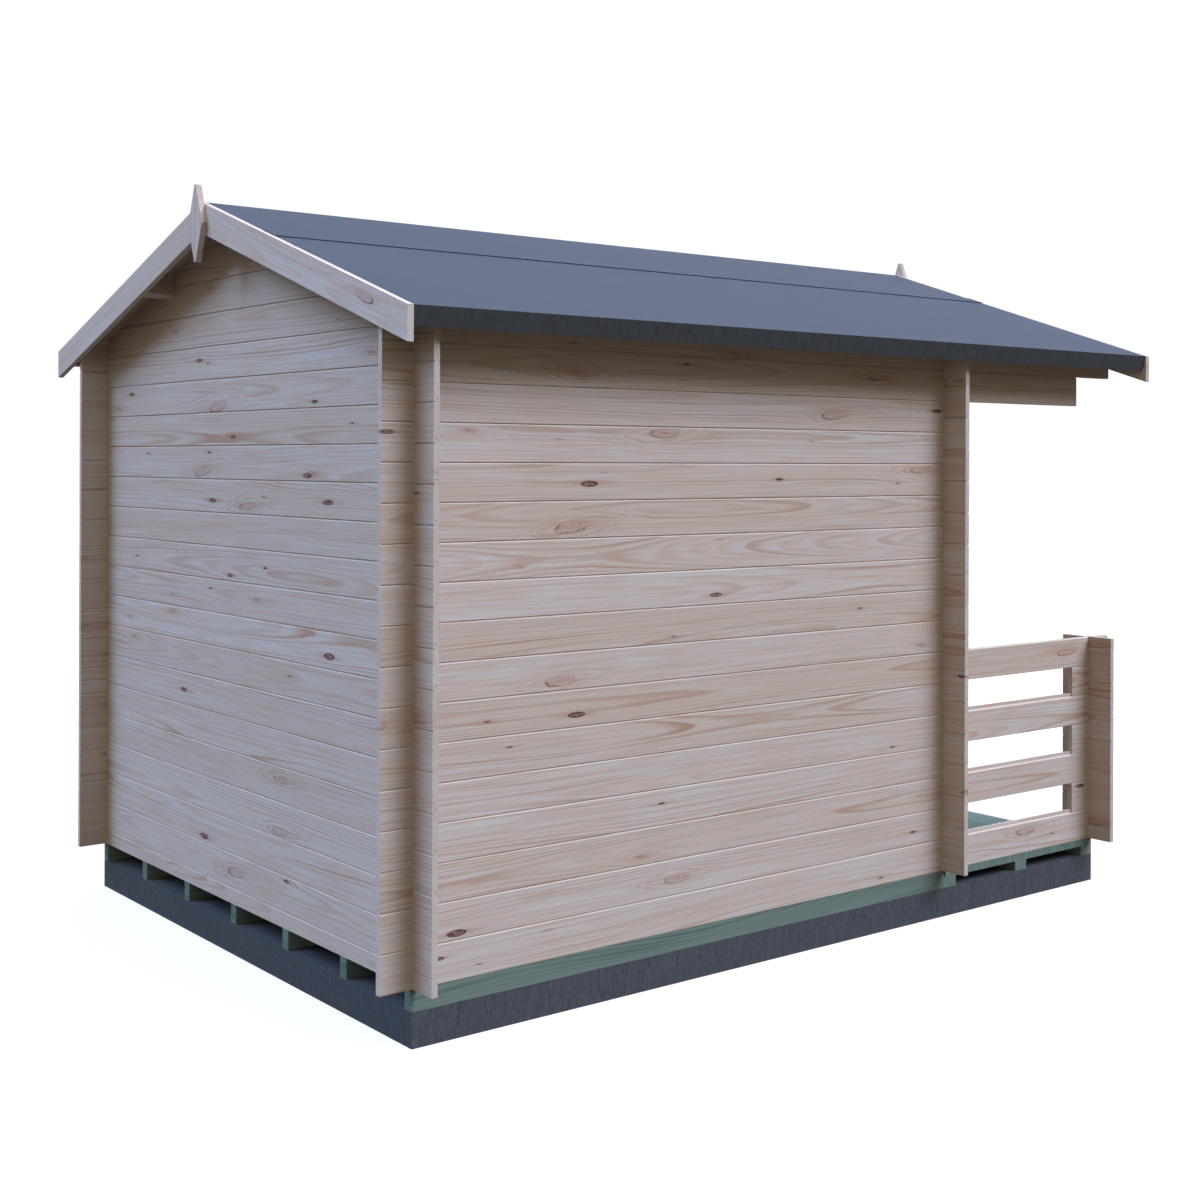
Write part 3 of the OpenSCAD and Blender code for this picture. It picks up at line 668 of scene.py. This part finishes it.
def concrete():
    """Dark cast concrete with the upright grain of its forms, pores and a few hairline cracks."""
    material, g, shader = new_material("concrete")
    x, y, z = g.place()
    streak = g.noise(g.vector(x * 110.0, y * 110.0, z * 22.0), detail=3.0, roughness=0.6)
    mottle = g.noise(g.vector(x, y, z), scale=70.0, detail=2.0)
    cloud = g.noise(g.vector(x, y, z), scale=3.0, detail=3.0)
    grain = g.noise(g.vector(x, y, z), scale=420.0, detail=2.0)
    pores = g.speckle(g.vector(x, y, z), 60.0).smooth(0.09, 0.18, 1.0, 0.0)
    wander = g.noise(g.vector(x * 3.0, y * 3.0, z * 14.0), detail=2.0)
    run = (x + y + wander * 0.012) / CRACK_SPACING
    middle, chance = g.cells_1d(run, 1.0)
    crack = (run - middle).absolute().smooth(0.0015, 0.0060, 1.0, 0.0) * chance[0].above(0.4)
    crack = crack * wander.smooth(0.35, 0.50) * (1.0 - g.facing(2))
    tone = streak * 1.05 + mottle * 0.75 + cloud * 0.1 - 0.65
    body = g.mix(cloud.smooth(0.56, 0.74), linear(CONCRETE_MID), linear(CONCRETE_WARM))
    colour = g.mix(tone, linear(CONCRETE_DARK), body)
    colour = g.mix(pores * 0.6 + crack * 0.8, colour, linear(CONCRETE_PORE))
    # painted light: the slab's long sides are lightened
    colour = g.shade(colour, grain * 0.3 + g.facing(0) * PAINTED_LIGHT_ON_SIDES + 0.82)
    g.feed(shader.inputs["Base Color"], colour)
    g.feed(shader.inputs["Roughness"], grain * 0.1 + 0.82)
    shader.inputs["Specular IOR Level"].default_value = 0.15
    g.feed(shader.inputs["Normal"], g.bump(grain * 0.6 + streak * 0.6 - pores - crack, 0.0012, 0.5))
    return material


def felt():
    """Roofing felt with a mineral face, darker and streaked where it turns down at the eave."""
    material, g, shader = new_material("felt")
    x, y, z = g.place()
    granules = g.noise(g.vector(x, y, z), scale=700.0, detail=2.0)
    sparkle = g.speckle(g.vector(x, y, z), 420.0)
    cloud = g.noise(g.vector(x * 1.5, y * 1.5, z), scale=2.0, detail=3.0)
    streak = g.noise(g.vector(x * 22.0, y * 80.0, z * 22.0), detail=3.0, roughness=0.6)
    mottle = g.noise(g.vector(x, y, z), scale=28.0, detail=2.0)
    geometry = g.node("ShaderNodeNewGeometry")
    facing = g.parts(Signal(g, geometry.outputs["Normal"]))[2]
    turned_down = facing.smooth(0.5, 0.8, 1.0, 0.0)
    colour = g.mix(turned_down, linear(FELT_TOP), linear(FELT_EDGE))
    tone = granules * 0.30 + cloud * 0.10 + mottle * 0.10 + turned_down * (streak - 0.5) * 0.9 + 0.75
    colour = g.shade(colour, tone)
    g.feed(shader.inputs["Base Color"], colour)
    g.feed(shader.inputs["Roughness"], granules * 0.1 + 0.85)
    shader.inputs["Specular IOR Level"].default_value = 0.15
    g.feed(shader.inputs["Normal"], g.bump(granules + sparkle * 0.5, 0.0006, 0.4))
    return material


def glass():
    """Clear window glass."""
    material, _, shader = new_material("glass")
    shader.inputs["Base Color"].default_value = (0.93, 0.97, 0.96, 1.0)
    shader.inputs["Roughness"].default_value = 0.02
    shader.inputs["Transmission Weight"].default_value = 1.0
    shader.inputs["IOR"].default_value = 1.45
    return material


def steel():
    """Brushed steel of the handle and hinges."""
    material, g, shader = new_material("steel")
    x, y, z = g.place()
    brushed = g.noise(g.vector(x * 900.0, y * 60.0, z * 60.0), detail=2.0)
    g.feed(shader.inputs["Base Color"], g.shade(linear(GALVANISED), brushed * 0.2 + 0.9))
    g.feed(shader.inputs["Roughness"], brushed * 0.15 + 0.28)
    shader.inputs["Metallic"].default_value = 1.0
    return material


# ---- boards, beads and fasteners that the CAD nodes leave out ----

def make_piece(name, material, build, replaces=None):
    """A new object from what build(bm) draws. It may stand for a CAD node."""
    bm = bmesh.new()
    build(bm)
    bmesh.ops.recalc_face_normals(bm, faces=bm.faces)
    mesh = bpy.data.meshes.new(name)
    bm.to_mesh(mesh)
    bm.free()
    mesh.materials.append(material)
    piece = bpy.data.objects.new(name, mesh)
    bpy.context.scene.collection.objects.link(piece)
    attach(piece, "root")
    if replaces:
        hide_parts(replaces)


def add_prism(bm, first, last):
    """A closed solid between two rings of the same number of points."""
    first = [bm.verts.new(point) for point in first]
    last = [bm.verts.new(point) for point in last]
    bm.faces.new(first)
    bm.faces.new(last[::-1])
    for i, corner in enumerate(first):
        j = (i + 1) % len(first)
        bm.faces.new((corner, last[i], last[j], first[j]))


def board_outline(start, end, thickness, chamfer, both_faces=False):
    """Outline of a tongued board seen from its end: the V joint is on its lower face, or on both."""
    start, end = start + JOINT, end - JOINT
    lower = [(start, chamfer), (start + chamfer, 0), (end - chamfer, 0), (end, chamfer)]
    if not both_faces:
        return lower + [(end, thickness), (start, thickness)]
    return lower + [(end, thickness - chamfer), (end - chamfer, thickness),
                    (start + chamfer, thickness), (start, thickness - chamfer)]


def fit_boards(width):
    """How many boards fill a width evenly, and the pitch that this gives them."""
    count = round(width / BOARD_PITCH)
    return count, width / count


def add_roof_boards(node, family):
    """One slope's boards, side by side from one gable to the other, as deep as the CAD slab."""
    low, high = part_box(node)
    count, pitch = fit_boards(high.y - low.y)
    section = {(round(v.co.x, 5), round(v.co.z, 5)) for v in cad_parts[node].data.vertices}
    from_ridge = sorted(section, key=lambda corner: abs(corner[0]))
    ends = [sorted(pair, key=lambda corner: corner[1]) for pair in (from_ridge[:2], from_ridge[2:])]
    thickness = math.dist(*ends[1])

    def build(bm):
        for i in range(count):
            outline = board_outline(low.y + i * pitch, low.y + (i + 1) * pitch, thickness, 0.0035)
            rings = []
            for under, top in ends:
                rings.append([(under[0] + (top[0] - under[0]) * h / thickness, y,
                               under[1] + (top[1] - under[1]) * h / thickness) for y, h in outline])
            add_prism(bm, *rings)

    material = spruce(f"spruce_{node}", sloping_rows(low.y, pitch, high.z, family))
    make_piece(f"{node}_tongued", material, build, node)


def add_floor_boards():
    """The room's floor boards, side by side across the room."""
    low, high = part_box("room_floor")
    count, pitch = fit_boards(high.x - low.x)
    thickness = high.z - low.z

    def build(bm):
        for i in range(count):
            outline = board_outline(low.x + i * pitch, low.x + (i + 1) * pitch, thickness, 0.001)
            add_prism(bm, *([(x, y, high.z - h) for x, h in outline] for y in (low.y, high.y)))

    material = spruce("spruce_floor_boards", rows(1, 0, low.x, pitch, low.z, 780.0))
    make_piece("room_floor_boards", material, build, "room_floor")


def add_door_boards():
    """Upright boards in the lower half of each door leaf."""
    low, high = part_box("door_panels")
    inner = min(abs(v.co.x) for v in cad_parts["door_panels"].data.vertices)
    count = 5
    pitch = (high.x - inner) / count
    thickness = high.y - low.y

    def build(bm):
        for start in (-high.x, inner):
            for i in range(count):
                outline = board_outline(start + i * pitch, start + (i + 1) * pitch, thickness, 0.003, True)
                add_prism(bm, *([(x, low.y + h, z) for x, h in outline] for z in (low.z, high.z)))

    def lay(g):
        place = g.place()
        side = place[0].above(0.0)
        run = place[0] + high.x - side * (high.x + inner)
        board = (run / pitch).floor()
        seed = board * 1.3 + side * 9.0 + 990.0
        return place[2], place[1] - low.y, run - board * pitch, seed, g.facing(2)

    material = spruce("spruce_door_boards", lay)
    make_piece("door_panel_boards", material, build, "door_panels")


def add_glazing_beads():
    """Mitred beads that hold each pane, inside and outside."""
    low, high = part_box("door_glass")
    leaf_low, leaf_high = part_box("right_door_leaf")
    inner = min(abs(v.co.x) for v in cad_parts["door_glass"].data.vertices) + PANE_SEAT
    outer = high.x - PANE_SEAT
    foot, head = low.z + PANE_SEAT, high.z - PANE_SEAT
    depth = leaf_high.y - high.y - 0.002
    outline = [(JOINT, 0.0), (BEAD_W, 0.0), (BEAD_W, 0.003), (0.004, depth), (JOINT, depth)]

    def build(bm):
        for left, right in ((inner, outer), (-outer, -inner)):
            for face, out in ((high.y + 0.0003, 1), (low.y - 0.0003, -1)):
                loops = [[bm.verts.new((x, face + out * rise, z)) for x, z in
                          ((left + inset, foot + inset), (right - inset, foot + inset),
                           (right - inset, head - inset), (left + inset, head - inset))]
                         for inset, rise in outline]
                for loop, following in zip(loops, loops[1:] + loops[:1]):
                    for i in range(4):
                        j = (i + 1) % 4
                        bm.faces.new((loop[i], loop[j], following[j], following[i]))

    material = spruce("spruce_glazing_beads", framed(leaf_low, inner + BEAD_W, outer - BEAD_W, 1010.0))
    make_piece("door_glazing_beads", material, build)


def add_head(bm, centre, normal, radius, rise):
    """The low dome of a nail or screw head on a face."""
    turn = Vector(normal).to_track_quat("Z", "Y").to_matrix()
    sides = 12
    rings = []
    for reach, height in ((1.0, 0.0), (0.92, 0.55), (0.5, 0.95)):
        ring = []
        for i in range(sides):
            angle = 2 * math.pi * i / sides
            x, y = radius * reach * math.cos(angle), radius * reach * math.sin(angle)
            ring.append(bm.verts.new(Vector(centre) + turn @ Vector((x, y, rise * height))))
        rings.append(ring)
    for ring, following in zip(rings, rings[1:]):
        for i in range(sides):
            j = (i + 1) % sides
            bm.faces.new((ring[i], ring[j], following[j], following[i]))
    bm.faces.new(rings[-1])


def add_barge_nails(metal):
    """Five pairs of nails through each barge board."""
    def build(bm):
        for end in (1, -1):
            low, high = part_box("back_left_barge" if end > 0 else "front_left_barge")
            face = high.y if end > 0 else low.y
            for side in (-1, 1):
                for i in range(5):
                    run = (i + 0.5) * NAIL_SPACING
                    top = high.z - run * math.tan(ROOF_PITCH)
                    for down in (0.022, BARGE_H - 0.024):
                        add_head(bm, (side * run, face, top - down), (0, end, 0), *NAIL_HEAD)

    make_piece("barge_nails", metal, build)


def add_deck_screws(metal):
    """Two screws where each deck board crosses a joist."""
    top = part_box("porch_deck")[1].z
    joists = sorted({round(v.co.x, 4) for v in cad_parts["porch_joists"].data.vertices})
    middles = [(a + b) / 2 for a, b in zip(joists[::2], joists[1::2])]
    edges = sorted({round(v.co.y, 4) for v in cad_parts["porch_deck"].data.vertices})

    def build(bm):
        for x in middles:
            for start, end in zip(edges[::2], edges[1::2]):
                for y in (start + SCREW_INSET, end - SCREW_INSET):
                    add_head(bm, (x, y, top - 0.0002), (0, 0, 1), *SCREW_HEAD)

    make_piece("deck_screws", metal, build)


# ---- stage ----

WHITE = (1.04, 1.04, 1.04, 1.0)         # what the eye and reflections see behind the cabin
ZENITH = (0.68, 0.61, 0.52, 1.0)        # the dome that lights the cabin, overhead
HORIZON = (0.10, 0.08, 0.042, 1.0)      # and low down
FLOOR_SEEN = (0.30, 0.30, 0.30, 1.0)
FLOOR_BOUNCE = (0.065, 0.053, 0.032, 1.0)
FLOOR_GLOW = 0.78


def seen_rays(g):
    """One for the rays of the eye, of reflections and through glass, and nothing for those that light."""
    rays = g.node("ShaderNodeLightPath")
    seen = Signal(g, rays.outputs["Is Camera Ray"]) + Signal(g, rays.outputs["Is Glossy Ray"])
    return g.math("MINIMUM", seen + Signal(g, rays.outputs["Is Transmission Ray"]), 1.0)


def add_floor():
    """A pale floor that keeps the object's shadow and otherwise shows as white."""
    mesh = bpy.data.meshes.new("floor")
    reach = 60.0
    mesh.from_pydata([(-reach, -reach, 0), (reach, -reach, 0), (reach, reach, 0), (-reach, reach, 0)],
                     [], [(0, 1, 2, 3)])
    floor = bpy.data.objects.new("floor", mesh)
    bpy.context.scene.collection.objects.link(floor)
    floor.location.z = -0.0005
    material = bpy.data.materials.new("floor")
    material.use_nodes = True
    material.node_tree.nodes.clear()
    g = Graph(material.node_tree)
    seen = seen_rays(g)
    plain = g.node("ShaderNodeBsdfDiffuse")
    g.feed(plain.inputs["Color"], g.mix(seen, FLOOR_BOUNCE, FLOOR_SEEN))
    glow = g.node("ShaderNodeEmission")
    g.feed(glow.inputs["Strength"], seen * FLOOR_GLOW)
    both = g.node("ShaderNodeAddShader")
    g.tree.links.new(plain.outputs[0], both.inputs[0])
    g.tree.links.new(glow.outputs[0], both.inputs[1])
    out = g.node("ShaderNodeOutputMaterial")
    g.tree.links.new(both.outputs[0], out.inputs["Surface"])
    mesh.materials.append(material)


def add_world():
    """White to the eye, and to the object a dim dome that is brighter overhead."""
    world = bpy.data.worlds.new("studio")
    bpy.context.scene.world = world
    world.use_nodes = True
    world.node_tree.nodes.clear()
    g = Graph(world.node_tree)
    direction = g.node("ShaderNodeTexCoord").outputs["Generated"]
    height = g.parts(Signal(g, direction))[2]
    dome = g.mix(height.smooth(0.05, 0.9), HORIZON, ZENITH)
    background = g.node("ShaderNodeBackground")
    g.feed(background.inputs["Color"], g.mix(seen_rays(g), dome, WHITE))
    out = g.node("ShaderNodeOutputWorld")
    g.tree.links.new(background.outputs[0], out.inputs["Surface"])


def add_lamp(name, toward, energy, colour, width):
    """A soft lamp, this many degrees wide, that shines from the direction toward it."""
    data = bpy.data.lights.new(name, "SUN")
    data.energy = energy
    data.angle = math.radians(width)
    data.color = colour
    lamp = bpy.data.objects.new(name, data)
    lamp.rotation_euler = Vector(toward).to_track_quat("Z", "Y").to_euler()
    bpy.context.scene.collection.objects.link(lamp)


def add_lamps():
    """A lamp for each wall that the camera sees, and weak ones for their corner and for the front."""
    add_lamp("side_lamp", (-0.82, -0.57, 0.96), 3.30, (0.74, 0.82, 1.0), 36)
    add_lamp("gable_lamp", (0.57, 0.82, 0.90), 3.05, (0.41, 0.62, 1.0), 40)
    add_lamp("corner_lamp", (-0.70, 0.70, 0.25), 0.16, (1.0, 0.92, 0.62), 40)
    add_lamp("front_lamp", (0.60, -0.75, 0.60), 1.2, (1.0, 1.0, 1.0), 50)


def add_camera():
    """The camera at the photograph's place: left of the cabin and behind it, at eye height."""
    yaw, pitch, roll = 0.89519, 0.00097, 0.00374
    forward = Vector((math.sin(yaw) * math.cos(pitch), -math.cos(yaw) * math.cos(pitch), math.sin(pitch)))
    level = Vector((-math.cos(yaw), -math.sin(yaw), 0))
    upright = level.cross(forward)
    right = math.cos(roll) * level + math.sin(roll) * upright
    up = -math.sin(roll) * level + math.cos(roll) * upright
    data = bpy.data.cameras.new("camera")
    data.sensor_width = 36
    data.lens = 50.18
    data.shift_x = -0.0337
    data.shift_y = -0.1169
    camera = bpy.data.objects.new("camera", data)
    turn = Matrix((right, up, -forward)).transposed()
    camera.matrix_world = Matrix.Translation((-5.2614, 4.0367, 1.6696)) @ turn.to_4x4()
    bpy.context.scene.collection.objects.link(camera)
    bpy.context.scene.camera = camera


finish_logs()
finish_roof_timber()
finish_treated_timber()
finish_door()
finish_cad(["base_slab"], concrete())
finish_cad(["left_felt", "right_felt", "ridge_felt"], felt())
finish_cad(["door_glass"], glass())
metal = steel()
finish_cad(["door_furniture"], metal)

add_roof_boards("left_roof_boards", 650.0)
add_roof_boards("right_roof_boards", 710.0)
add_floor_boards()
add_door_boards()
add_glazing_beads()
add_barge_nails(metal)
add_deck_screws(metal)

add_floor()
add_world()
add_lamps()
add_camera()
bpy.context.scene.view_settings.view_transform = "Standard"
